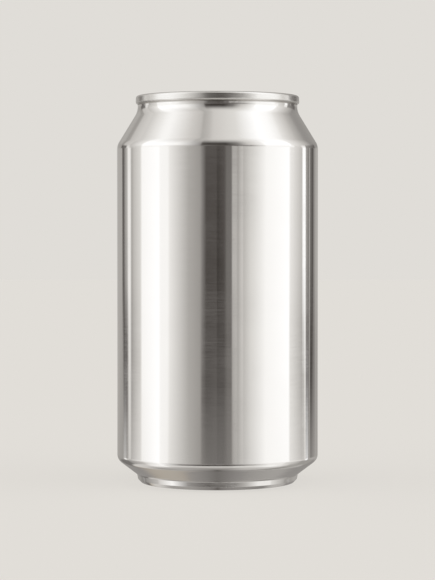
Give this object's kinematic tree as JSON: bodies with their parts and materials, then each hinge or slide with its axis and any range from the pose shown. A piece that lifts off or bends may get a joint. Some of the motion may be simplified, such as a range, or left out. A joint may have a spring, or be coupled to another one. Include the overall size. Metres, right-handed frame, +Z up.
{
  "type": "aluminum beverage can",
  "caption": "Shut aluminum beverage can with a necked-in shoulder, a seamed end with a stay-on pull tab, and a domed base on a stand ring; plain bare brushed metal.",
  "frame": {"origin": "centre of the base, on the surface that the can stands on", "axes": "+Z up along the can's axis, the pour opening towards -Y and the tab's finger ring towards +Y"},
  "size_m": [0.066, 0.066, 0.1267],
  "materials": {
    "body_aluminum": "bare drawn and ironed aluminum with fine brush lines round the can, satin",
    "end_aluminum": "bright rolled aluminum sheet with a faint straight grain, lacquered",
    "tab_aluminum": "bright stamped aluminum with rolled edges"
  },
  "bodies": {
    "root": {"can_body": "body_aluminum", "can_end": "end_aluminum", "pull_tab": "tab_aluminum"}
  },
  "joints": []
}
